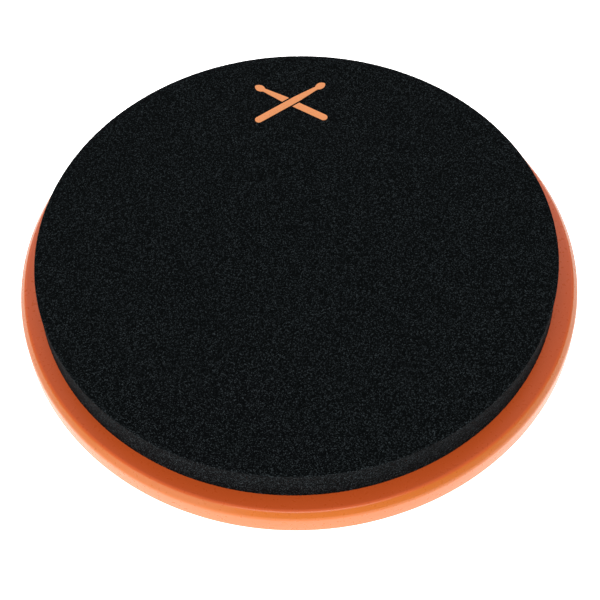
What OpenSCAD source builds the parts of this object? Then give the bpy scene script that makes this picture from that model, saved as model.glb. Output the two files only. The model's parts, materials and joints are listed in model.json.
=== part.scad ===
// Round practice pad for drummers. A thick foam-rubber disc is bonded on top of a lacquered fibreboard
// disc, and a thin non-slip mat under it. A threaded insert in the middle of the underside takes a stand.
// Millimetres, +Z up. The origin is the middle of the mat's underside, and the printed mark is towards +Y.

/* [Base board] */
// Diameter of the board
board_d = 305; // [200:1:380]
// Thickness of the board
board_t = 18; // [14:0.5:26]
// Width of the chamfer on the board's top edge, seen from above
chamfer_w = 3; // [1:0.5:5]
// Height of the chamfer on the board's top edge
chamfer_h = 4; // [1:0.5:6]
// Radius of the round-over on the board's bottom edge
board_bottom_r = 4; // [1:0.5:6]

/* [Playing disc] */
// Width of the board's rim that stays bare around the foam
rim_w = 12; // [7:0.5:30]
// Thickness of the foam disc
foam_t = 20; // [8:0.5:30]
// Radius of the foam's soft top edge
foam_edge_r = 1; // [0.5:0.1:3]

/* [Non-slip mat] */
// Width of the board's underside that stays bare around the mat
mat_margin = 9; // [7:0.5:30]
// Thickness of the mat
mat_t = 2; // [1:0.25:4]
// Width of the bare ring between the insert's flange and the hole in the mat
mat_hole_gap = 5; // [2:0.5:10]

/* [Bond films] */
// Thickness of the bond film under the foam
foam_bond_t = 0.25; // [0.15:0.05:0.5]
// Thickness of the bond film over the mat
mat_bond_t = 0.25; // [0.15:0.05:0.5]
// How far a bond film stops short of the edge of the piece it holds
bond_inset = 1; // [0.5:0.25:3]

/* [Stand thread] */
// Nominal diameter of the stand's thread
thread_d = 8; // [5:1:10]
// Pitch of the stand's thread
thread_pitch = 1.25; // [0.75:0.25:1.5]
// Wall of the insert outside the thread's nominal diameter
insert_wall = 2; // [1.5:0.25:3]
// Width of the insert's flange past its body
flange_lip = 2; // [1:0.25:4]
// Thickness of the insert's flange
flange_t = 1.6; // [1:0.1:3]
// Depth of the hexagon socket that the insert is driven in by
hex_depth = 4; // [2:0.5:5]
// Radial clearance of the insert and its flange in the board
insert_fit = 0.05; // [0.02:0.01:0.2]
// Thickness of board left above the insert's hole
board_web_t = 3; // [2:0.5:5]
// Depth of the hole past the end of the insert
hole_spare = 2; // [1:0.5:4]

/* [Printed mark] */
// Distance from the foam's edge in to the middle of the mark
mark_inset = 37; // [30:1:60]
// Length of each drumstick in the mark
stick_l = 49; // [30:1:60]
// Width of a drumstick's shaft in the mark
stick_w = 4.4; // [2:0.2:6]
// Angle of each drumstick from the X axis
stick_angle = 34; // [20:1:70]
// Length of a drumstick's oval tip
tip_l = 7; // [4:0.5:9]
// Width of a drumstick's oval tip
tip_w = 4.6; // [2.5:0.1:6]
// Width of the neck behind the tip
neck_w = 2.4; // [1:0.2:4]
// Length of the taper from the shaft to the neck
taper_l = 13; // [5:1:20]
// Gap left on each side where one drumstick passes over the other
crossing_gap = 1.1; // [0.5:0.1:3]
// Thickness of the printed film
mark_t = 0.15; // [0.1:0.05:0.4]

/* [Hidden] */
$fn = 180;
hex_sides = 6;

// Heights, from the mat's underside up
board_z = mat_t + mat_bond_t;
foam_bond_z = board_z + board_t;
foam_z = foam_bond_z + foam_bond_t;
mark_z = foam_z + foam_t;

// The foam and the mat keep to the board's flat faces
foam_d = board_d - 2 * rim_w;
mat_d = board_d - 2 * mat_margin;

// The insert, and the stepped hole that it is driven into
thread_core_d = thread_d - thread_pitch;
insert_d = thread_d + 2 * insert_wall;
flange_d = insert_d + 2 * flange_lip;
insert_l = board_t - board_web_t - hole_spare;
insert_hole_d = insert_d + 2 * insert_fit;
flange_recess_d = flange_d + 2 * insert_fit;
mat_hole_d = flange_d + 2 * mat_hole_gap;
hex_corner_d = thread_d / cos(180 / hex_sides);

mark_y = foam_d / 2 - mark_inset;

// A cut runs this far past the face that it opens
cut_past = 1;

// A disc on the XY plane with its two edges rounded. A radius of 0 leaves that edge square.
module disc(d, t, top_r, bottom_r) {
    rotate_extrude() {
        square([d / 2 - bottom_r, t / 2]);
        translate([0, t / 2])
            square([d / 2 - top_r, t / 2]);
        translate([0, bottom_r])
            square([d / 2, t - top_r - bottom_r]);
        if (top_r > 0)
            translate([d / 2 - top_r, t - top_r])
                circle(top_r);
        if (bottom_r > 0)
            translate([d / 2 - bottom_r, bottom_r])
                circle(bottom_r);
    }
}

// A flat ring on the XY plane
module ring(outer_d, inner_d, t) {
    difference() {
        cylinder(d = outer_d, h = t);
        translate([0, 0, -cut_past])
            cylinder(d = inner_d, h = t + 2 * cut_past);
    }
}

// Ribbed rubber sheet that keeps the pad from sliding, open in the middle for the stand
module grip_mat() {
    color("#26282a")
        ring(mat_d, mat_hole_d, mat_t);
}

// Bond film between the mat and the board
module grip_adhesive() {
    color("#d8d2c0")
        translate([0, 0, mat_t])
            ring(mat_d - 2 * bond_inset, mat_hole_d + 2 * bond_inset, mat_bond_t);
}

// What the chamfer takes off a disc of that diameter and thickness
module chamfer_cut(d, t, w, h) {
    rotate_extrude()
        polygon([
            [d / 2 - w, t],
            [d / 2, t - h],
            [d / 2 + cut_past, t - h],
            [d / 2 + cut_past, t + cut_past],
            [d / 2 - w, t + cut_past]
        ]);
}

// Lacquered fibreboard disc with a chamfered top edge, drilled from below for the insert
module base_board() {
    color("#e4602a")
        translate([0, 0, board_z])
            difference() {
                disc(board_d, board_t, 0, board_bottom_r);
                chamfer_cut(board_d, board_t, chamfer_w, chamfer_h);
                translate([0, 0, -cut_past])
                    cylinder(d = insert_hole_d, h = insert_l + hole_spare + cut_past);
                translate([0, 0, -cut_past])
                    cylinder(d = flange_recess_d, h = flange_t + cut_past);
            }
}

// Flanged insert, flush with the board's underside. Its bore is at the core diameter of the thread.
module thread_insert() {
    color("#c9a352")
        translate([0, 0, board_z])
            difference() {
                union() {
                    cylinder(d = flange_d, h = flange_t);
                    cylinder(d = insert_d, h = insert_l);
                }
                translate([0, 0, -cut_past])
                    cylinder(d = thread_core_d, h = insert_l + 2 * cut_past);
                translate([0, 0, -cut_past])
                    cylinder(d = hex_corner_d, h = hex_depth + cut_past, $fn = hex_sides);
            }
}

// Bond film between the board and the foam
module foam_adhesive() {
    color("#cfc6ad")
        translate([0, 0, foam_bond_z])
            cylinder(d = foam_d - 2 * bond_inset, h = foam_bond_t);
}

// Disc of dense foam rubber that the sticks strike
module foam_pad() {
    color("#16181a")
        translate([0, 0, foam_z])
            disc(foam_d, foam_t, foam_edge_r, 0);
}

// Outline of one drumstick along X, with its middle at the origin and its tip towards +X
module drumstick_outline() {
    butt_x = (stick_w - stick_l) / 2;
    neck_x = stick_l / 2 - tip_l;
    tip_r = (tip_l * tip_l + tip_w * tip_w) / (4 * tip_w);
    // the neck runs on into the middle of the tip
    polygon([
        [butt_x, -stick_w / 2],
        [neck_x - taper_l, -stick_w / 2],
        [neck_x, -neck_w / 2],
        [neck_x + tip_l / 2, -neck_w / 2],
        [neck_x + tip_l / 2, neck_w / 2],
        [neck_x, neck_w / 2],
        [neck_x - taper_l, stick_w / 2],
        [butt_x, stick_w / 2]
    ]);
    translate([butt_x, 0])
        circle(d = stick_w);
    // two arcs that meet at the ends of the tip
    translate([neck_x + tip_l / 2, 0])
        intersection() {
            translate([0, tip_w / 2 - tip_r])
                circle(tip_r);
            translate([0, tip_r - tip_w / 2])
                circle(tip_r);
        }
}

// Generic mark of two crossed drumsticks, printed on the foam's face
module printed_mark() {
    color("#ffa064")
        translate([0, mark_y, mark_z])
            linear_extrude(mark_t) {
                rotate(stick_angle)
                    drumstick_outline();
                difference() {
                    rotate(180 - stick_angle)
                        drumstick_outline();
                    rotate(stick_angle)
                        square([stick_l, stick_w + 2 * crossing_gap], center = true);
                }
            }
}

grip_mat();
grip_adhesive();
base_board();
thread_insert();
foam_adhesive();
foam_pad();
printed_mark();
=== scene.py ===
"""A round practice pad for drummers, laid out as a Blender add-on and run as a script.

A black foam-rubber disc is bonded onto a larger fibreboard disc that is lacquered orange. Under the
board are a ribbed non-slip mat and, in its middle, a threaded brass insert for a stand.
Metres, +Z up. The origin is the middle of the mat's underside, and the printed mark is towards +Y.
"""

import json
import math

import bmesh
import bpy
from bpy.props import FloatProperty, FloatVectorProperty, IntProperty, PointerProperty
from bpy.types import Operator, Panel, PropertyGroup
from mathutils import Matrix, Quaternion, Vector, noise


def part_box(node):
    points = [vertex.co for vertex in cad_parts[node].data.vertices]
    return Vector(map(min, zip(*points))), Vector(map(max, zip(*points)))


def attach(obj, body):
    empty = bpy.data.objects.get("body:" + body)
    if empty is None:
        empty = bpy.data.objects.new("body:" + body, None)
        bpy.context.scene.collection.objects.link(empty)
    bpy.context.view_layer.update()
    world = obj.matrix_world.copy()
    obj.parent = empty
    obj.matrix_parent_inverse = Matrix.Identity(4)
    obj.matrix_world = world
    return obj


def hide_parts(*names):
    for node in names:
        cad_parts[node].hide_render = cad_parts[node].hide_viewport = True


bl_info = {
    "name": "Practice Pad",
    "version": (1, 0, 0),
    "blender": (4, 5, 0),
    "location": "3D View > Sidebar > Practice Pad",
    "description": "Adds a foam-rubber practice pad on a lacquered board, piece by piece",
    "category": "Add Mesh",
}

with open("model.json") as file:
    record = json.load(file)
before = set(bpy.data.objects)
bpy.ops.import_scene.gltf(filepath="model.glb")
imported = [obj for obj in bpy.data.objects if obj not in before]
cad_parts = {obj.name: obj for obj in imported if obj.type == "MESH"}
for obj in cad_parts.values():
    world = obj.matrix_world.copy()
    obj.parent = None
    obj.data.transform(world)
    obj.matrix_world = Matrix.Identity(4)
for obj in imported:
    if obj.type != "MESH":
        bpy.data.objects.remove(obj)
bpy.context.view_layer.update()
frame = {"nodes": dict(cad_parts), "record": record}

MM = 0.001
TURN = 2 * math.pi
BODY = "root"
BOX = {name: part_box(name) for name in frame["nodes"]}
STAND_THREAD = next(m for m in frame["record"]["mounts"] if m["name"] == "stand_thread")
FIT = 0.05 * MM  # clearance of the insert in its hole
FINEST_RING = 1440  # points round an edge that shows pores
SOFTBOX_DISTANCE = 1.6
# name, degrees round from the viewer's side, degrees above the horizon, width and height in metres
SOFTBOXES = (
    ("left_softbox", -45, 15, 1.2, 0.8),
    ("front_softbox", 0, 39, 1.15, 0.55),
    ("back_softbox", 180, 39, 2.6, 0.6),
)


# ---------------------------------------------------------------- shapes


def linear(code):
    """An sRGB hex colour as the linear red, green and blue that Blender works in."""
    shares = [int(code[i : i + 2], 16) / 255 for i in (1, 3, 5)]
    return tuple(s / 12.92 if s <= 0.04045 else ((s + 0.055) / 1.055) ** 2.4 for s in shares)


def ring(radius, z, count):
    """Points round a circle, anticlockwise from +X. radius is a length, or a function of the angle."""
    points = []
    for i in range(count):
        angle = TURN * i / count
        r = radius(angle) if callable(radius) else radius
        points.append(Vector((r * math.cos(angle), r * math.sin(angle), z)))
    return points


def softened(corners, steps=8):
    """(r, z) points of a turned outline given as (r, z, radius of the rounding) corners."""
    points = []
    for i, (r, z, radius) in enumerate(corners):
        corner = Vector((r, z))
        if not radius:
            points.append(corner)
            continue
        back = (Vector(corners[i - 1][:2]) - corner).normalized()
        ahead = (Vector(corners[i + 1][:2]) - corner).normalized()
        half = back.angle(ahead) / 2
        centre = corner + (back + ahead).normalized() * radius / math.sin(half)
        start = corner + back * radius / math.tan(half) - centre
        end = corner + ahead * radius / math.tan(half) - centre
        for j in range(steps + 1):
            points.append(centre + start.lerp(end, j / steps).normalized() * radius)
    return points


def ring_count(radius, spacing):
    """How many points a ring takes, so that rings next to each other differ by whole halvings."""
    count = FINEST_RING
    while count % 2 == 0 and TURN * radius / count < spacing:
        count //= 2
    return count


def bridge(mesh, one, other):
    """Faces between two rings. The finer has a whole number of times the points of the coarser."""
    fine, coarse = (one, other) if len(one) >= len(other) else (other, one)
    if len(coarse) == 1:
        for i in range(len(fine)):
            mesh.faces.new((fine[i], fine[(i + 1) % len(fine)], coarse[0]))
        return
    share = len(fine) // len(coarse)
    for j in range(len(coarse)):
        along = [fine[(j * share + i) % len(fine)] for i in range(share + 1)]
        mesh.faces.new((*along, coarse[(j + 1) % len(coarse)], coarse[j]))


def finish_piece(name, mesh, crease=35):
    """The mesh as an object, with outward faces, and smooth except at edges sharper than crease."""
    bmesh.ops.recalc_face_normals(mesh, faces=mesh.faces)
    data = bpy.data.meshes.new(name)
    mesh.to_mesh(data)
    mesh.free()
    data.shade_smooth()
    data.set_sharp_from_angle(angle=math.radians(crease))
    piece = bpy.data.objects.new(name, data)
    bpy.context.scene.collection.objects.link(piece)
    return piece


def skin(name, rings, closed=False, crease=35):
    """A piece whose skin runs from ring to ring. A ring of one point is a tip on the axis."""
    mesh = bmesh.new()
    made = [[mesh.verts.new(point) for point in points] for points in rings]
    pairs = list(zip(made, made[1:]))
    if closed:
        pairs.append((made[-1], made[0]))
    for one, other in pairs:
        bridge(mesh, one, other)
    return finish_piece(name, mesh, crease)


def place(piece, node, slot, *materials):
    """Gives the piece its finishes, fixes it to the pad, and puts it in the CAD node's stead."""
    for material in materials:
        piece.data.materials.append(material)
    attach(piece, BODY)
    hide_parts(node)
    return piece


# ---------------------------------------------------------------- materials


def add(tree, kind, links=None, sockets=None, **settings):
    """A node with its settings, its sockets' values and the links into its sockets."""
    made = tree.nodes.new(kind)
    for key, value in settings.items():
        setattr(made, key, value)
    for key, value in (sockets or {}).items():
        made.inputs[key].default_value = value
    for key, source in (links or {}).items():
        tree.links.new(source, made.inputs[key])
    return made


def new_material(name, **sockets):
    """A new material with those values on its shader, then its node tree, shader and position."""
    material = bpy.data.materials.new(name)
    material.use_nodes = True
    tree = material.node_tree
    shader = tree.nodes["Principled BSDF"]
    for key, value in sockets.items():
        shader.inputs[key.replace("_", " ").title().replace("Ior", "IOR")].default_value = value
    position = add(tree, "ShaderNodeTexCoord").outputs["Object"]
    return material, tree, shader, position


def per(size_mm):
    """A texture's scale for features of that size."""
    return 1 / (size_mm * MM)


def foam_rubber_split(look):
    """Closed-cell foam rubber, split from a block.

    Cut cells leave a dead matte near-black skin. Most cells take the pit colour, the foam's own
    near-black with painted shade in the cut cells, and a few walls take a lighter colour, a painted
    highlight.
    """
    material, tree, shader, position = new_material(
        "foam_rubber_split", roughness=0.95, specular_ior_level=0.06, ior=1.5
    )
    # real pores are about 0.1 mm across, too fine to show, so these are drawn coarser
    cells = add(
        tree, "ShaderNodeTexVoronoi", {"Vector": position}, {"Scale": per(look.pore)},
    )
    chance = add(tree, "ShaderNodeSeparateColor", {"Color": cells.outputs["Color"]})
    wall_and_highlight = add(
        tree, "ShaderNodeMath", {0: chance.outputs["Red"]}, {1: 8.0}, operation="POWER",
    )
    # painted shade in the pits and painted highlights on the few lighter walls, chosen cell by cell
    shaded_pits_lit_walls = add(
        tree, "ShaderNodeMix", {"Factor": wall_and_highlight.outputs["Value"]}, data_type="RGBA",
    )
    shaded_pits_lit_walls.inputs["A"].default_value = (*look.pit_colour_and_shade, 1)
    shaded_pits_lit_walls.inputs["B"].default_value = (*look.colour, 1)
    tree.links.new(shaded_pits_lit_walls.outputs["Result"], shader.inputs["Base Color"])
    pits = add(
        tree, "ShaderNodeBump",
        {"Height": wall_and_highlight.outputs["Value"]},
        {"Strength": 0.4, "Distance": look.pore_depth * MM},
    )
    tree.links.new(pits.outputs["Normal"], shader.inputs["Normal"])
    return material


def lacquer_on_fibreboard(look):
    """Pigmented satin lacquer, sprayed on fibreboard.

    It is even, with a soft sheen and faint orange peel. On the sloped faces of the edge its colour turns
    yellower,
    a painted highlight: the hue that the brightly lit chamfer takes. The fibres of the cut edge show as a
    fine roughness.
    """
    material, tree, shader, position = new_material(
        "lacquer_on_fibreboard", roughness=0.34, ior=1.5
    )
    way = add(tree, "ShaderNodeNewGeometry")
    lean = add(tree, "ShaderNodeSeparateXYZ", {"Vector": way.outputs["True Normal"]})
    flatness = add(tree, "ShaderNodeMath", {0: lean.outputs["Z"]}, operation="ABSOLUTE")
    # painted highlight: as the face leans from flat, the colour blends from the lacquer's to the yellower
    # hue of the brightly lit chamfer; the same share sets the fibre roughness
    edge = add(
        tree, "ShaderNodeMapRange", {"Value": flatness.outputs["Value"]},
        {"From Min": 0.97, "From Max": 0.6},
    )
    shade = add(tree, "ShaderNodeMix", {"Factor": edge.outputs["Result"]}, data_type="RGBA")
    shade.inputs["A"].default_value = (*look.colour, 1)
    shade.inputs["B"].default_value = (*look.chamfer_highlight_colour, 1)
    cloud = add(
        tree, "ShaderNodeTexNoise", {"Vector": position}, {"Scale": per(40), "Detail": 2.0},
    )
    drift = add(
        tree, "ShaderNodeMapRange", {"Value": cloud.outputs["Fac"]},
        {"To Min": 0.94, "To Max": 1.06},
    )
    colour = add(
        tree, "ShaderNodeVectorMath",
        {"Vector": shade.outputs["Result"], "Scale": drift.outputs["Result"]}, operation="SCALE",
    )
    tree.links.new(colour.outputs["Vector"], shader.inputs["Base Color"])
    peel = add(
        tree, "ShaderNodeTexNoise", {"Vector": position}, {"Scale": per(2.2), "Detail": 1.0},
    )
    peel_bump = add(
        tree, "ShaderNodeBump", {"Height": peel.outputs["Fac"]},
        {"Strength": 0.12, "Distance": 0.02 * MM},
    )
    fibre = add(
        tree, "ShaderNodeTexNoise", {"Vector": position},
        {"Scale": per(0.9), "Detail": 4.0, "Roughness": 0.75},
    )
    fuzz = add(
        tree, "ShaderNodeMath", {0: edge.outputs["Result"]}, {1: 0.6}, operation="MULTIPLY",
    )
    fibre_bump = add(
        tree, "ShaderNodeBump",
        {
            "Height": fibre.outputs["Fac"],
            "Strength": fuzz.outputs["Value"],
            "Normal": peel_bump.outputs["Normal"],
        },
        {"Distance": 0.08 * MM},
    )
    tree.links.new(fibre_bump.outputs["Normal"], shader.inputs["Normal"])
    sheen = add(
        tree, "ShaderNodeMapRange", {"Value": peel.outputs["Fac"]},
        {"To Min": look.roughness - 0.02, "To Max": look.roughness + 0.02},
    )
    tree.links.new(sheen.outputs["Result"], shader.inputs["Roughness"])
    return material


def raw_fibreboard(look):
    """Bare fibreboard inside the drilled hole: a fuzzy dull brown."""
    material, tree, shader, position = new_material(
        "raw_fibreboard", roughness=0.9, specular_ior_level=0.3
    )
    fibre = add(
        tree, "ShaderNodeTexNoise", {"Vector": position}, {"Scale": per(0.5), "Detail": 4.0},
    )
    brown = add(tree, "ShaderNodeMix", {"Factor": fibre.outputs["Fac"]}, data_type="RGBA")
    brown.inputs["A"].default_value = (*[c * 0.6 for c in look.core_colour], 1)
    brown.inputs["B"].default_value = (*[c * 1.3 for c in look.core_colour], 1)
    tree.links.new(brown.outputs["Result"], shader.inputs["Base Color"])
    bump = add(
        tree, "ShaderNodeBump", {"Height": fibre.outputs["Fac"]},
        {"Strength": 0.8, "Distance": 0.1 * MM},
    )
    tree.links.new(bump.outputs["Normal"], shader.inputs["Normal"])
    return material


def ribbed_mat_rubber(look):
    """Calendered solid rubber matting: matte charcoal, with a fine leathery skin and a little dust."""
    material, tree, shader, position = new_material(
        "ribbed_mat_rubber", roughness=0.78, specular_ior_level=0.35, ior=1.52
    )
    dust = add(
        tree, "ShaderNodeTexNoise", {"Vector": position}, {"Scale": per(14), "Detail": 6.0},
    )
    colour = add(tree, "ShaderNodeMix", {"Factor": dust.outputs["Fac"]}, data_type="RGBA")
    colour.inputs["A"].default_value = (*[c * 0.7 for c in look.colour], 1)
    colour.inputs["B"].default_value = (*[c * 1.5 for c in look.colour], 1)
    tree.links.new(colour.outputs["Result"], shader.inputs["Base Color"])
    leather = add(
        tree, "ShaderNodeTexNoise", {"Vector": position}, {"Scale": per(0.8), "Detail": 3.0},
    )
    bump = add(
        tree, "ShaderNodeBump", {"Height": leather.outputs["Fac"]},
        {"Strength": 0.5, "Distance": 0.05 * MM},
    )
    tree.links.new(bump.outputs["Normal"], shader.inputs["Normal"])
    return material


def turned_brass(look):
    """Turned brass, bright but not polished: fine tool lines run round it, and it has dulled unevenly."""
    material, tree, shader, position = new_material(
        "turned_brass", roughness=0.3, metallic=1.0
    )
    lines = add(
        tree, "ShaderNodeTexWave", {"Vector": position},
        {"Scale": per(0.35) / TURN, "Distortion": 0.4}, wave_type="RINGS", rings_direction="Z",
    )
    bump = add(
        tree, "ShaderNodeBump", {"Height": lines.outputs["Fac"]},
        {"Strength": 0.3, "Distance": 0.01 * MM},
    )
    tree.links.new(bump.outputs["Normal"], shader.inputs["Normal"])
    tarnish = add(
        tree, "ShaderNodeTexNoise", {"Vector": position}, {"Scale": per(3), "Detail": 3.0},
    )
    colour = add(tree, "ShaderNodeMix", {"Factor": tarnish.outputs["Fac"]}, data_type="RGBA")
    colour.inputs["A"].default_value = (*[c * 0.75 for c in look.colour], 1)
    colour.inputs["B"].default_value = (*look.colour, 1)
    tree.links.new(colour.outputs["Result"], shader.inputs["Base Color"])
    dulling = add(
        tree, "ShaderNodeMapRange", {"Value": tarnish.outputs["Fac"]},
        {"To Min": 0.22, "To Max": 0.42},
    )
    tree.links.new(dulling.outputs["Result"], shader.inputs["Roughness"])
    return material


def brushed_contact_adhesive(look):
    """Contact adhesive, brushed on and dried: a thin amber film with brush strokes in it."""
    material, tree, shader, position = new_material(
        "brushed_contact_adhesive", roughness=0.45, ior=1.48
    )
    stretch = add(
        tree, "ShaderNodeMapping", {"Vector": position}, {"Scale": (per(9), per(1.2), per(9))},
    )
    strokes = add(
        tree, "ShaderNodeTexNoise", {"Vector": stretch.outputs["Vector"]},
        {"Scale": 1.0, "Detail": 4.0},
    )
    colour = add(tree, "ShaderNodeMix", {"Factor": strokes.outputs["Fac"]}, data_type="RGBA")
    colour.inputs["A"].default_value = (*[c * 0.8 for c in look.colour], 1)
    colour.inputs["B"].default_value = (*[c * 1.15 for c in look.colour], 1)
    tree.links.new(colour.outputs["Result"], shader.inputs["Base Color"])
    bump = add(
        tree, "ShaderNodeBump", {"Height": strokes.outputs["Fac"]},
        {"Strength": 0.5, "Distance": 0.08 * MM},
    )
    tree.links.new(bump.outputs["Normal"], shader.inputs["Normal"])
    return material


def transfer_ink(look):
    """Ink printed on foam: flat and matte, a little thin where it bridges the cut cells."""
    material, tree, shader, position = new_material(
        "transfer_ink", roughness=0.62, specular_ior_level=0.35, ior=1.5
    )
    cells = add(
        tree, "ShaderNodeTexNoise", {"Vector": position},
        {"Scale": per(0.8), "Detail": 3.0, "Roughness": 0.65},
    )
    thin = add(
        tree, "ShaderNodeMapRange", {"Value": cells.outputs["Fac"]},
        {"From Min": 0.42, "From Max": 0.28, "To Max": 0.7},
    )
    colour = add(
        tree, "ShaderNodeMix", {"Factor": thin.outputs["Result"]}, data_type="RGBA",
    )
    colour.inputs["A"].default_value = (*look.colour, 1)
    colour.inputs["B"].default_value = (*look.thin_colour, 1)
    tree.links.new(colour.outputs["Result"], shader.inputs["Base Color"])
    bump = add(
        tree, "ShaderNodeBump", {"Height": cells.outputs["Fac"]},
        {"Strength": 0.4, "Distance": 0.08 * MM},
    )
    tree.links.new(bump.outputs["Normal"], shader.inputs["Normal"])
    return material


def lit_acrylic(look):
    """White opal acrylic, lit from below: the even glowing table that small goods are pictured on."""
    return new_material(
        "lit_acrylic", roughness=0.6, base_color=(*linear("#E7E7E7"), 1),
        emission_color=(*linear("#FFFFFF"), 1), emission_strength=look.table_glow,
    )[0]


# ---------------------------------------------------------------- sizes and colours


class PadFoam(PropertyGroup):
    """The playing disc"""

    laid_right: FloatProperty(
        name="Laid to the right", description="How far right of the board's middle the foam was laid",
        default=-0.85 * MM, min=-5 * MM, max=5 * MM, unit="LENGTH",
    )
    laid_back: FloatProperty(
        name="Laid back", description="How far behind the board's middle the foam was laid",
        default=-0.6 * MM, min=-5 * MM, max=5 * MM, unit="LENGTH",
    )
    edge_radius: FloatProperty(
        name="Edge radius", description="Radius of the soft top edge",
        default=1 * MM, min=0.2 * MM, max=3 * MM, unit="LENGTH",
    )
    foot_radius: FloatProperty(
        name="Foot radius", description="Radius of the bottom edge, dragged round by the cutting die",
        default=0.6 * MM, min=0.1 * MM, max=3 * MM, unit="LENGTH",
    )
    side_bow: FloatProperty(
        name="Side bow", description="How far the die-cut side draws in at mid height",
        default=0.35 * MM, min=0, max=2 * MM, unit="LENGTH",
    )
    wave: FloatProperty(
        name="Wave", description="Height of the slow unevenness of the split face",
        default=0.08 * MM, min=0, max=0.5 * MM, unit="LENGTH",
    )
    wave_length: FloatProperty(
        name="Wave length", description="Distance between the high spots of the face",
        default=35 * MM, min=5 * MM, max=200 * MM, unit="LENGTH",
    )
    cell: FloatProperty(
        name="Cell", description="Size of the cut cells that pit the edge",
        default=0.9 * MM, min=0.3 * MM, max=3 * MM, unit="LENGTH",
    )
    cell_depth: FloatProperty(
        name="Cell depth", description="Depth of the cut cells at the edge",
        default=0.22 * MM, min=0, max=1 * MM, unit="LENGTH",
    )
    pore: FloatProperty(
        name="Pore size", description="Size of the face's pores in millimetres, coarse enough to show",
        default=0.4, min=0.2, max=4,
    )
    pore_depth: FloatProperty(
        name="Pore depth", description="Depth of the face's pores in millimetres",
        default=0.12, min=0, max=1,
    )
    # painted highlight: the colour of the few lighter cell walls
    colour: FloatVectorProperty(
        name="Colour", description="Colour of the cell walls that catch light",
        subtype="COLOR", size=3, min=0, max=1, default=linear("#3B4245"),
    )
    # the foam's own near-black, with painted shade in the cut cells
    pit_colour_and_shade: FloatVectorProperty(
        name="Pit colour", description="Colour of the cut-open cells",
        subtype="COLOR", size=3, min=0, max=1, default=linear("#030506"),
    )


class PadBoard(PropertyGroup):
    """The lacquered board"""

    chamfer_width: FloatProperty(
        name="Chamfer width", description="Width of the chamfer on the board's top edge",
        default=3 * MM, min=0.5 * MM, max=8 * MM, unit="LENGTH",
    )
    chamfer_height: FloatProperty(
        name="Chamfer height", description="Height of the chamfer on the board's top edge",
        default=4 * MM, min=0.5 * MM, max=8 * MM, unit="LENGTH",
    )
    upper_softening: FloatProperty(
        name="Upper softening", description="Rounding of the chamfer's upper edge by sanding and lacquer",
        default=2.5 * MM, min=0.1 * MM, max=5 * MM, unit="LENGTH",
    )
    lower_softening: FloatProperty(
        name="Lower softening", description="Rounding of the chamfer's lower edge by sanding and lacquer",
        default=4 * MM, min=0.1 * MM, max=5 * MM, unit="LENGTH",
    )
    bottom_radius: FloatProperty(
        name="Bottom edge radius", description="Round-over of the board's bottom edge",
        default=4 * MM, min=0.5 * MM, max=8 * MM, unit="LENGTH",
    )
    hole_spare: FloatProperty(
        name="Hole spare", description="Depth of the drilled hole past the insert",
        default=2 * MM, min=0, max=5 * MM, unit="LENGTH",
    )
    hand_wobble: FloatProperty(
        name="Hand wobble", description="How far the sanded edge strays from true round",
        default=0.04 * MM, min=0, max=0.5 * MM, unit="LENGTH",
    )
    roughness: FloatProperty(
        name="Roughness", description="Roughness of the satin lacquer",
        default=0.28, min=0.05, max=1, subtype="FACTOR",
    )
    colour: FloatVectorProperty(
        name="Colour", description="Colour of the lacquer",
        subtype="COLOR", size=3, min=0, max=1, default=linear("#E46027"),
    )
    # painted highlight: the yellower hue of the brightly lit chamfer, laid on the board's sloped faces
    chamfer_highlight_colour: FloatVectorProperty(
        name="Edge colour", description="Colour of the thinner lacquer on the cut edge",
        subtype="COLOR", size=3, min=0, max=1, default=linear("#CC6812"),
    )
    core_colour: FloatVectorProperty(
        name="Core colour", description="Colour of the bare fibreboard in the drilled hole",
        subtype="COLOR", size=3, min=0, max=1, default=linear("#8A6A48"),
    )


class PadMat(PropertyGroup):
    """The non-slip mat"""

    hole_radius: FloatProperty(
        name="Hole radius", description="Radius of the hole around the insert",
        default=13 * MM, min=9 * MM, max=30 * MM, unit="LENGTH",
    )
    rib_pitch: FloatProperty(
        name="Rib pitch", description="Distance from rib to rib on the underside",
        default=4 * MM, min=1 * MM, max=12 * MM, unit="LENGTH",
    )
    rib_height: FloatProperty(
        name="Rib height", description="Height of the ribs on the underside",
        default=0.7 * MM, min=0.1 * MM, max=1.5 * MM, unit="LENGTH",
    )
    colour: FloatVectorProperty(
        name="Colour", description="Colour of the rubber",
        subtype="COLOR", size=3, min=0, max=1, default=linear("#242628"),
    )


class PadInsert(PropertyGroup):
    """The threaded insert"""

    body_radius: FloatProperty(
        name="Body radius", description="Radius of the shank over its outer thread",
        default=6 * MM, min=4 * MM, max=10 * MM, unit="LENGTH",
    )
    flange_thickness: FloatProperty(
        name="Flange thickness", description="Thickness of the flange",
        default=1.6 * MM, min=0.5 * MM, max=4 * MM, unit="LENGTH",
    )
    thread_radius: FloatProperty(
        name="Thread radius", description="Outer radius of the stand's thread",
        default=4 * MM, min=2 * MM, max=6 * MM, unit="LENGTH",
    )
    thread_pitch: FloatProperty(
        name="Thread pitch", description="Pitch of the stand's thread",
        default=1.25 * MM, min=0.5 * MM, max=2 * MM, unit="LENGTH",
    )
    outer_pitch: FloatProperty(
        name="Outer pitch", description="Pitch of the coarse thread that bites into the board",
        default=2.6 * MM, min=1 * MM, max=5 * MM, unit="LENGTH",
    )
    outer_depth: FloatProperty(
        name="Outer depth", description="Depth of the coarse thread that bites into the board",
        default=0.8 * MM, min=0.2 * MM, max=1.5 * MM, unit="LENGTH",
    )
    socket_depth: FloatProperty(
        name="Socket depth", description="Depth of the hexagon driving socket",
        default=4 * MM, min=1 * MM, max=8 * MM, unit="LENGTH",
    )
    colour: FloatVectorProperty(
        name="Colour", description="Colour of the brass",
        subtype="COLOR", size=3, min=0, max=1, default=linear("#D9B45F"),
    )


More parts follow.
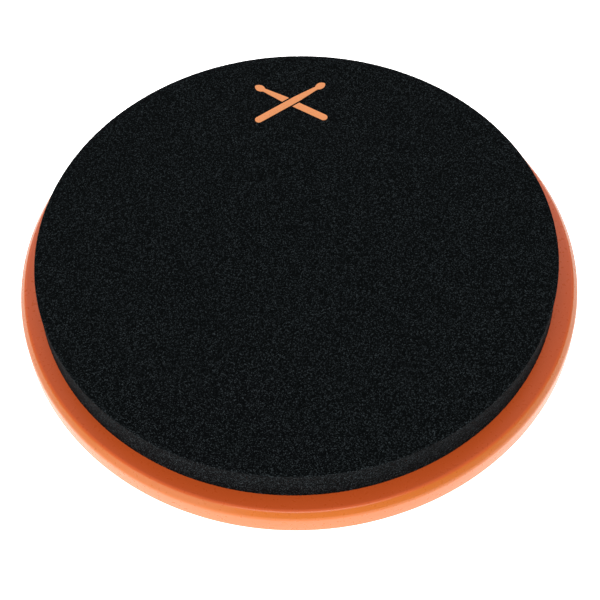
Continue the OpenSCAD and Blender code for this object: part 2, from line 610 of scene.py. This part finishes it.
class PadBonds(PropertyGroup):
    """The bond films"""

    inset: FloatProperty(
        name="Inset", description="How far the film over the mat stops short of the mat's hole",
        default=1 * MM, min=0, max=5 * MM, unit="LENGTH",
    )
    edge_wander: FloatProperty(
        name="Edge wander", description="How far the brushed edge of a film strays",
        default=0.6 * MM, min=0, max=3 * MM, unit="LENGTH",
    )
    colour: FloatVectorProperty(
        name="Colour", description="Colour of the dried adhesive",
        subtype="COLOR", size=3, min=0, max=1, default=linear("#C9A96A"),
    )


class PadMark(PropertyGroup):
    """The printed mark: two crossed drumsticks"""

    stick_length: FloatProperty(
        name="Stick length", description="Length of each drumstick",
        default=49 * MM, min=20 * MM, max=80 * MM, unit="LENGTH",
    )
    stick_width: FloatProperty(
        name="Stick width", description="Width of a drumstick's shaft",
        default=4.4 * MM, min=1 * MM, max=8 * MM, unit="LENGTH",
    )
    angle: FloatProperty(
        name="Angle", description="Angle of each drumstick from the X axis",
        default=math.radians(34), min=0.2, max=1.4, subtype="ANGLE",
    )
    tip_length: FloatProperty(
        name="Tip length", description="Length of the oval tip",
        default=7 * MM, min=2 * MM, max=12 * MM, unit="LENGTH",
    )
    tip_width: FloatProperty(
        name="Tip width", description="Width of the oval tip",
        default=4.6 * MM, min=1 * MM, max=8 * MM, unit="LENGTH",
    )
    neck_width: FloatProperty(
        name="Neck width", description="Width of the neck behind the tip",
        default=2.4 * MM, min=0.5 * MM, max=6 * MM, unit="LENGTH",
    )
    taper_length: FloatProperty(
        name="Taper length", description="Length of the taper from shaft to neck",
        default=13 * MM, min=1 * MM, max=30 * MM, unit="LENGTH",
    )
    crossing_gap: FloatProperty(
        name="Crossing gap", description="Gap left on each side where one stick passes over the other",
        default=1.1 * MM, min=0, max=4 * MM, unit="LENGTH",
    )
    bleed: FloatProperty(
        name="Ink bleed", description="How far the ink's edge strays over the foam's cells",
        default=0.08 * MM, min=0, max=0.5 * MM, unit="LENGTH",
    )
    colour: FloatVectorProperty(
        name="Colour", description="Colour of the ink",
        subtype="COLOR", size=3, min=0, max=1, default=linear("#FFA468"),
    )
    thin_colour: FloatVectorProperty(
        name="Thin colour", description="Colour where the ink is thin over a cell",
        subtype="COLOR", size=3, min=0, max=1, default=linear("#C46A3A"),
    )


class PadStage(PropertyGroup):
    """Camera, light and table"""

    camera_distance: FloatProperty(
        name="Camera distance", description="Distance from the camera to the middle of the board's top",
        default=844.7 * MM, min=0.2, max=5, unit="LENGTH",
    )
    camera_elevation: FloatProperty(
        name="Camera elevation", description="Height of the camera above the horizon",
        default=math.radians(53.61), min=0, max=math.pi / 2, subtype="ANGLE",
    )
    camera_roll: FloatProperty(
        name="Camera roll", description="How far the camera leans, anticlockwise as it looks",
        default=math.radians(-2.08), min=-1, max=1, subtype="ANGLE",
    )
    aim_x: FloatProperty(
        name="Aim to the right", description="How far right of the middle the camera aims",
        default=0.3 * MM, min=-0.2, max=0.2, unit="LENGTH",
    )
    aim_y: FloatProperty(
        name="Aim away", description="How far beyond the middle the camera aims",
        default=-22.36 * MM, min=-0.2, max=0.2, unit="LENGTH",
    )
    focal_length: FloatProperty(
        name="Focal length", description="Focal length in millimetres on a 36 mm wide sensor",
        default=92.48, min=20, max=300,
    )
    table_glow: FloatProperty(
        name="Table glow", description="Brightness of the lit table",
        default=1.35, min=0, max=10,
    )
    room_light: FloatProperty(
        name="Room light", description="Brightness of the pale room",
        default=0.45, min=0, max=5,
    )
    left_light: FloatProperty(
        name="Left light", description="Brightness of the low softbox at the front left",
        default=2.0, min=0, max=20,
    )
    front_light: FloatProperty(
        name="Front light", description="Brightness of the raised softbox at the front",
        default=4.4, min=0, max=20,
    )
    back_light: FloatProperty(
        name="Back light", description="Brightness of the wide softbox behind the pad",
        default=1.8, min=0, max=20,
    )
    table_size: FloatProperty(
        name="Table size", description="Radius of the table",
        default=5.0, min=0.5, max=20, unit="LENGTH",
    )


# ---------------------------------------------------------------- pieces


def foam_face_drop(point, size):
    """How far the foam's face lies below its highest level at a point."""
    spot = Vector((point.x, point.y, 0)) / size.wave_length
    return size.wave * (0.5 - 0.5 * noise.noise(spot))


def cell_pit(point, size):
    """Depth of the cut cells at a point on the foam's edge, from 0 to the cell depth."""
    spot = noise.noise(point / size.cell) + 0.5 * noise.noise(point * 2.3 / size.cell)
    return size.cell_depth * max(0.0, spot)


class PAD_OT_add_foam(Operator):
    """Add the foam-rubber disc that the sticks strike"""

    bl_idname = "pad.add_foam"
    bl_label = "Foam Disc"

    def execute(self, context):
        size = context.scene.pad_foam
        low, high = BOX["foam_pad"]
        radius, edge, foot = high.x, size.edge_radius, size.foot_radius
        flat = radius - edge
        rings = [[Vector((0, 0, high.z))]]
        first, step, spacing = 6 * MM, 3.2 * MM, 2.4 * MM
        for i in range(math.ceil((flat - 1.5 * MM - first) / step)):
            r = first + i * step
            rings.append(ring(r, high.z, ring_count(r, spacing)))
        # the last rings of the face lie closer together, to carry the pits of the edge
        for back, count in ((1.4, FINEST_RING // 2), (0.7, FINEST_RING), (0.3, FINEST_RING)):
            rings.append(ring(flat - back * MM, high.z, count))
        arc_steps, side_steps = 5, 20
        outline = softened(
            [(flat - 0.3 * MM, high.z, 0), (radius, high.z, edge), (radius, low.z, foot),
             (radius - 2 * MM, low.z, 0)],
            steps=arc_steps,
        )
        top_arc = outline[1 : arc_steps + 2]
        bottom_arc = outline[arc_steps + 2 : -1]
        side = [top_arc[-1].lerp(bottom_arc[0], i / side_steps) for i in range(1, side_steps)]
        for r, z in [*top_arc, *side, *bottom_arc]:
            share = (high.z - z) / (high.z - low.z)
            bow = size.side_bow * 4 * share * (1 - share)
            rings.append(ring(r - bow, z, FINEST_RING))
        rings.append(ring(radius - 2 * MM, low.z, FINEST_RING // 2))
        rings.append([Vector((0, 0, low.z))])
        pitted_band, soft_top = 2.2 * MM, 3 * MM
        for points in rings:
            for point in points:
                spread = math.hypot(point.x, point.y)
                near_top = min(1.0, max(0.0, (point.z - high.z + soft_top) / soft_top))
                if spread > radius - pitted_band and point.z > low.z + 0.1 * MM:
                    pit = cell_pit(point, size)
                    inward = Vector((-point.x, -point.y, 0)).normalized() * pit
                    point += inward + Vector((0, 0, -0.6 * pit * near_top))
                point.z -= foam_face_drop(point, size) * near_top
                point += Vector((size.laid_right, size.laid_back, 0))
        piece = skin("playing_foam", rings, crease=60)
        place(piece, "foam_pad", "foam_rubber", foam_rubber_split(size))
        return {"FINISHED"}


class PAD_OT_add_board(Operator):
    """Add the lacquered board, drilled from below for the insert"""

    bl_idname = "pad.add_board"
    bl_label = "Lacquered Board"

    def execute(self, context):
        size, insert = context.scene.pad_board, context.scene.pad_insert
        low, high = BOX["base_board"]
        flange, hole_end = BOX["thread_insert"][1].x, BOX["thread_insert"][1].z + size.hole_spare
        radius = high.x
        ledge = low.z + insert.flange_thickness
        # the corners at round radii split the flat faces and have no other use
        outline = softened([
            (30 * MM, high.z, 0),
            (70 * MM, high.z, 0),
            (110 * MM, high.z, 0),
            (radius - size.chamfer_width, high.z, size.upper_softening),
            (radius, high.z - size.chamfer_height, size.lower_softening),
            (radius, low.z, size.bottom_radius),
            (110 * MM, low.z, 0),
            (60 * MM, low.z, 0),
            (25 * MM, low.z, 0),
            (flange + FIT, low.z, 0),
            (flange + FIT, ledge, 0),
            (insert.body_radius + FIT, ledge, 0),
            (insert.body_radius + FIT, hole_end, 0),
        ])
        rings = [[Vector((0, 0, high.z))]]
        for r, z in outline:
            count = FINEST_RING // 2 if r > 0.9 * radius else FINEST_RING // (8 if r > 40 * MM else 16)
            rings.append(ring(r, z, count))
        rings.append([Vector((0, 0, hole_end))])
        for points in rings:
            for point in points:
                if math.hypot(point.x, point.y) > radius - 3 * MM:
                    sway = noise.noise(Vector((point.x, point.y, 3 * point.z)) / (18 * MM))
                    point += Vector((point.x, point.y, 0)).normalized() * sway * size.hand_wobble
        piece = skin("lacquered_board", rings, crease=40)
        place(
            piece, "base_board", "board_lacquer", lacquer_on_fibreboard(size), raw_fibreboard(size)
        )
        drilled = flange + 2 * FIT
        for face in piece.data.polygons:
            middle = face.center
            inside = math.hypot(middle.x, middle.y) < drilled and middle.z < high.z - 0.1 * MM
            face.material_index = int(inside)
        return {"FINISHED"}


class PAD_OT_add_mat(Operator):
    """Add the ribbed mat that keeps the pad from sliding"""

    bl_idname = "pad.add_mat"
    bl_label = "Non-slip Mat"

    def execute(self, context):
        size = context.scene.pad_mat
        low, high = BOX["grip_mat"]
        spare = 5 * MM
        reach = high.x + spare
        ribs = 2 * math.ceil(reach / size.rib_pitch)
        start = -ribs / 2 * size.rib_pitch
        # across one rib: along the groove, up its flank, and over its rounded crest
        shape = [(0.0, 1.0), (0.28, 1.0), (0.36, 0.5), (0.42, 0.12), (0.5, 0.0), (0.78, 0.0),
                 (0.86, 0.12), (0.92, 0.5)]
        wave = [
            (start + (i + share) * size.rib_pitch, low.z + lift * size.rib_height)
            for i in range(ribs) for share, lift in shape
        ]
        wave.append((-start, low.z + size.rib_height))
        section = [*wave, (wave[-1][0], high.z), (wave[0][0], high.z)]
        slab = bmesh.new()
        ends = [[slab.verts.new((x, y, z)) for x, z in section] for y in (-reach, reach)]
        bridge(slab, *ends)
        for end in ends:
            slab.faces.new(end)
        sheet = finish_piece("ribbed_grip_mat", slab, crease=30)
        above, below = high.z + spare, low.z - spare
        outer, inner = high.x, size.hole_radius
        count = FINEST_RING // 4
        cutter = skin(
            "mat_cutter",
            [ring(outer, above, count), ring(outer, below, count),
             ring(inner, below, count // 4), ring(inner, above, count // 4)],
            closed=True,
        )
        trim = sheet.modifiers.new("cut_round", "BOOLEAN")
        trim.operation = "INTERSECT"
        trim.solver = "EXACT"
        trim.object = cutter
        cut = bpy.data.meshes.new_from_object(sheet.evaluated_get(context.evaluated_depsgraph_get()))
        sheet.modifiers.clear()
        sheet.data = cut
        bpy.data.objects.remove(cutter)
        if not cut.polygons:
            raise RuntimeError("the mat's ribs were not cut to shape")
        cut.shade_smooth()
        cut.set_sharp_from_angle(angle=math.radians(30))
        place(sheet, "grip_mat", "mat_rubber", ribbed_mat_rubber(size))
        return {"FINISHED"}


class PAD_OT_add_insert(Operator):
    """Add the brass insert with its stand thread, driving socket and outer thread"""

    bl_idname = "pad.add_insert"
    bl_label = "Threaded Insert"

    def execute(self, context):
        size = context.scene.pad_insert
        low, high = BOX["thread_insert"]
        core, flange = STAND_THREAD["dims"]["r_mm"] * MM, high.x
        count, step = 96, 0.15 * MM
        chamfer = 0.25 * MM

        def thread(z, root, crest, pitch, flat):
            """Radius round a helical thread at height z, as a function of the angle."""

            def radius(angle):
                """Radius at one angle, from the flat root up the flank to the flat crest."""
                phase = (z / pitch - angle / TURN) % 1
                rise = max(0.0, min(1.0, (0.5 - abs(phase - 0.5)) * 2 * (1 + 2 * flat) - flat))
                return root + (crest - root) * rise

            return radius

        def hexagon(angle):
            """Radius round the driving socket, whose flats touch the thread's outer radius."""
            return size.thread_radius / math.cos((angle % (TURN / 6)) - TURN / 12)

        neck = low.z + size.flange_thickness
        shank_root = size.body_radius - size.outer_depth
        socket_end = low.z + size.socket_depth
        rings = [
            ring(flange - chamfer, low.z, count),
            ring(flange, low.z + chamfer, count),
            ring(flange, neck - chamfer, count),
            ring(flange - chamfer, neck, count),
            ring(shank_root, neck, count),
        ]
        turns = round((high.z - neck) / step)
        for i in range(1, turns):
            z = neck + (high.z - neck) * i / turns
            fade = min(1.0, 4 * min(i, turns - i) / turns)
            crest = shank_root + size.outer_depth * fade
            rings.append(ring(thread(z, shank_root, crest, size.outer_pitch, 0.25), z, count))
        rings.append(ring(shank_root - chamfer, high.z, count))
        rings.append(ring(size.thread_radius + chamfer, high.z, count))
        turns = round((high.z - socket_end) / step)
        for i in range(1, turns):
            z = high.z - (high.z - socket_end) * i / turns
            rings.append(
                ring(thread(z, core, size.thread_radius, size.thread_pitch, 0.12), z, count)
            )
        rings.append(ring(core + 0.1 * MM, socket_end, count))
        rings.append(ring(hexagon, socket_end, count))
        rings.append(ring(hexagon, low.z + chamfer, count))
        rings.append(ring(lambda angle: hexagon(angle) + chamfer, low.z, count))
        piece = skin("stand_insert", rings, closed=True, crease=28)
        place(piece, "thread_insert", "insert_brass", turned_brass(size))
        return {"FINISHED"}


class PAD_OT_add_bonds(Operator):
    """Add the bond films under the foam and over the mat"""

    bl_idname = "pad.add_bonds"
    bl_label = "Bond Films"

    def execute(self, context):
        size = context.scene.pad_bonds
        material = brushed_contact_adhesive(size)
        count = FINEST_RING // 2
        stroke_width = 7 * MM

        def wandering(radius, into_film, seed):
            """Radius round a brushed edge, as a function of the angle. It never passes the CAD edge."""

            def at(angle):
                """Radius at one angle, strayed by smooth noise."""
                spot = Vector((math.cos(angle), math.sin(angle), 0)) * radius / stroke_width
                stray = 0.5 + 0.5 * noise.noise(spot + Vector((0, 0, seed)))
                return radius + into_film * size.edge_wander * stray

            return at

        low, high = BOX["foam_adhesive"]
        edge = wandering(high.x, -1, 1)
        film = skin(
            "foam_bond_film",
            [[Vector((0, 0, high.z))], ring(edge, high.z, count), ring(edge, low.z, count),
             [Vector((0, 0, low.z))]],
        )
        place(film, "foam_adhesive", "bond_film", material)
        low, high = BOX["grip_adhesive"]
        edge = wandering(high.x, -1, 2)
        mouth = wandering(context.scene.pad_mat.hole_radius + size.inset, 1, 5)
        film = skin(
            "mat_bond_film",
            [ring(edge, high.z, count), ring(edge, low.z, count),
             ring(mouth, low.z, count // 8), ring(mouth, high.z, count // 8)],
            closed=True,
        )
        place(film, "grip_adhesive", "bond_film", material)
        return {"FINISHED"}


class PAD_OT_add_mark(Operator):
    """Add the printed mark, two crossed drumsticks on the foam's face"""

    bl_idname = "pad.add_mark"
    bl_label = "Printed Mark"

    def execute(self, context):
        size, foam = context.scene.pad_mark, context.scene.pad_foam
        low, high = BOX["printed_mark"]
        middle = (low + high) / 2
        # the ink reaches down into the foam, whose face lies a little lower in places
        foot = BOX["foam_pad"][1].z - 0.1 * MM
        outline = self.stick(size)
        # the second stick is turned the other way, and the first one's shaft is cleared from it
        turn_up = Quaternion((0, 0, 1), size.angle)
        turn_down = Quaternion((0, 0, 1), math.pi - size.angle)
        across = turn_up @ Vector((0, 1, 0))
        clear = size.stick_width / 2 + size.crossing_gap
        mesh = bmesh.new()
        self.fill(mesh, [turn_up @ p for p in outline])
        for side in (1, -1):
            part = bmesh.new()
            self.fill(part, [turn_down @ p for p in outline])
            bmesh.ops.bisect_plane(
                part, geom=[*part.verts, *part.edges, *part.faces],
                plane_co=across * side * clear, plane_no=across * side, clear_inner=True,
            )
            flat = bpy.data.meshes.new("half_stick")
            part.to_mesh(flat)
            part.free()
            mesh.from_mesh(flat)
            bpy.data.meshes.remove(flat)
        place_on_foam = Vector((middle.x + foam.laid_right, middle.y + foam.laid_back, foot))
        bleed_size, elsewhere = 0.5 * MM, Vector((9, 0, 0))
        for vert in mesh.verts:
            spot = vert.co / bleed_size
            vert.co += size.bleed * Vector((noise.noise(spot), noise.noise(spot + elsewhere), 0))
            vert.co += place_on_foam
        risen = bmesh.ops.extrude_face_region(mesh, geom=list(mesh.faces))
        for item in risen["geom"]:
            if isinstance(item, bmesh.types.BMVert):
                item.co.z = high.z
        piece = finish_piece("crossed_sticks_mark", mesh, crease=30)
        place(piece, "printed_mark", "mark_ink", transfer_ink(size))
        return {"FINISHED"}

    @staticmethod
    def stick(size):
        """Outline of a drumstick along X with its tip towards +X, as closely spaced points."""
        half_w, half_neck = size.stick_width / 2, size.neck_width / 2
        butt = half_w - size.stick_length / 2
        neck = size.stick_length / 2 - size.tip_length
        tip_r = (size.tip_length**2 + size.tip_width**2) / (4 * size.tip_width)
        tip_x = neck + size.tip_length / 2
        rise = size.tip_width / 2 - tip_r
        # where the neck meets the tip's arc, and where the two arcs meet at the end
        meet = math.asin((half_neck - rise) / tip_r)
        end = math.asin(-rise / tip_r)
        upper = [(butt + half_w * math.cos(a), half_w * math.sin(a))
                 for a in (math.pi - math.pi / 2 * i / 16 for i in range(17))]
        upper += [(neck - size.taper_length, half_w)]
        upper += [(tip_x + tip_r * math.cos(a), rise + tip_r * math.sin(a))
                  for a in (math.pi - meet + (end - math.pi + meet) * i / 24 for i in range(25))]
        outline = [Vector((x, y, 0)) for x, y in upper]
        outline += [Vector((p.x, -p.y, 0)) for p in reversed(outline[1:-1])]
        fine, spacing = [], 0.35 * MM
        for one, other in zip(outline, outline[1:] + outline[:1]):
            parts = max(1, round((other - one).length / spacing))
            fine += [one.lerp(other, i / parts) for i in range(parts)]
        return fine

    @staticmethod
    def fill(mesh, outline):
        """A flat face inside the outline."""
        mesh.faces.new([mesh.verts.new(point) for point in outline])


class PAD_OT_add_stage(Operator):
    """Add the camera, the soft light and the lit table"""

    bl_idname = "pad.add_stage"
    bl_label = "Camera, Light and Table"

    def execute(self, context):
        stage = context.scene.pad_stage
        board_top = BOX["base_board"][1].z
        flat = bmesh.new()
        rim = [flat.verts.new(point) for point in ring(stage.table_size, 0, 64)]
        flat.faces.new(rim)
        table = finish_piece("lit_table", flat)
        table.data.materials.append(lit_acrylic(stage))

        lean = stage.camera_elevation
        centre = Vector((0, 0, board_top))
        spot = centre + stage.camera_distance * Vector((0, -math.cos(lean), math.sin(lean)))
        aim = centre + Vector((stage.aim_x, stage.aim_y, 0))
        camera = bpy.data.objects.new("camera", bpy.data.cameras.new("camera"))
        camera.data.lens = stage.focal_length
        camera.data.sensor_width = 36
        camera.location = spot
        camera.rotation_mode = "QUATERNION"
        camera.rotation_quaternion = (aim - spot).to_track_quat("-Z", "Y") @ Quaternion(
            (0, 0, 1), stage.camera_roll
        )
        context.scene.collection.objects.link(camera)
        context.scene.camera = camera

        world = bpy.data.worlds.new("white_room")
        world.use_nodes = True
        room = world.node_tree.nodes["Background"]
        room.inputs["Color"].default_value = (*linear("#FFFFFF"), 1)
        room.inputs["Strength"].default_value = stage.room_light
        context.scene.world = world
        context.scene.view_settings.view_transform = "Standard"
        for softbox, brightness in zip(
            SOFTBOXES, (stage.left_light, stage.front_light, stage.back_light)
        ):
            self.add_softbox(context, *softbox, brightness)
        return {"FINISHED"}

    @staticmethod
    def add_softbox(context, name, turn, rise, width, height, brightness):
        """A rectangular light that faces the pad, turned anticlockwise from the viewer's side."""
        lamp = bpy.data.lights.new(name, "AREA")
        lamp.shape = "RECTANGLE"
        lamp.size, lamp.size_y = width, height
        lamp.energy = brightness * math.pi * width * height
        softbox = bpy.data.objects.new(name, lamp)
        turn, rise = math.radians(turn), math.radians(rise)
        away = Vector((math.sin(turn), -math.cos(turn), math.tan(rise))).normalized()
        softbox.location = away * SOFTBOX_DISTANCE
        softbox.rotation_mode = "QUATERNION"
        softbox.rotation_quaternion = away.to_track_quat("Z", "Y")
        softbox.visible_camera = False
        context.scene.collection.objects.link(softbox)


class PAD_PT_pieces(Panel):
    """The pad's pieces and the sizes and colours behind them"""

    bl_idname = "PAD_PT_pieces"
    bl_label = "Practice Pad"
    bl_space_type = "VIEW_3D"
    bl_region_type = "UI"
    bl_category = "Practice Pad"

    def draw(self, context):
        for title, settings, operator in SECTIONS:
            section = self.layout.box()
            section.label(text=title)
            group = getattr(context.scene, settings)
            for name in group.__annotations__:
                section.prop(group, name)
            section.operator(operator)


SECTIONS = [
    ("Camera, light and table", "pad_stage", "pad.add_stage"),
    ("Foam disc", "pad_foam", "pad.add_foam"),
    ("Board", "pad_board", "pad.add_board"),
    ("Mat", "pad_mat", "pad.add_mat"),
    ("Insert", "pad_insert", "pad.add_insert"),
    ("Bond films", "pad_bonds", "pad.add_bonds"),
    ("Printed mark", "pad_mark", "pad.add_mark"),
]
SETTINGS = {
    "pad_stage": PadStage,
    "pad_foam": PadFoam,
    "pad_board": PadBoard,
    "pad_mat": PadMat,
    "pad_insert": PadInsert,
    "pad_bonds": PadBonds,
    "pad_mark": PadMark,
}
TOOLS = (
    PAD_OT_add_stage,
    PAD_OT_add_foam,
    PAD_OT_add_board,
    PAD_OT_add_mat,
    PAD_OT_add_insert,
    PAD_OT_add_bonds,
    PAD_OT_add_mark,
    PAD_PT_pieces,
)


def register():
    """Adds the settings to the scene, and the operators and the panel to Blender."""
    for name, group in SETTINGS.items():
        bpy.utils.register_class(group)
        setattr(bpy.types.Scene, name, PointerProperty(type=group))
    for tool in TOOLS:
        bpy.utils.register_class(tool)


def unregister():
    """Takes away what register adds."""
    for tool in reversed(TOOLS):
        bpy.utils.unregister_class(tool)
    for name, group in reversed(SETTINGS.items()):
        delattr(bpy.types.Scene, name)
        bpy.utils.unregister_class(group)


def main():
    """Makes every piece and the stage."""
    register()
    bpy.ops.pad.add_stage()
    bpy.ops.pad.add_foam()
    bpy.ops.pad.add_board()
    bpy.ops.pad.add_mat()
    bpy.ops.pad.add_insert()
    bpy.ops.pad.add_bonds()
    bpy.ops.pad.add_mark()


if __name__ == "__main__":
    main()
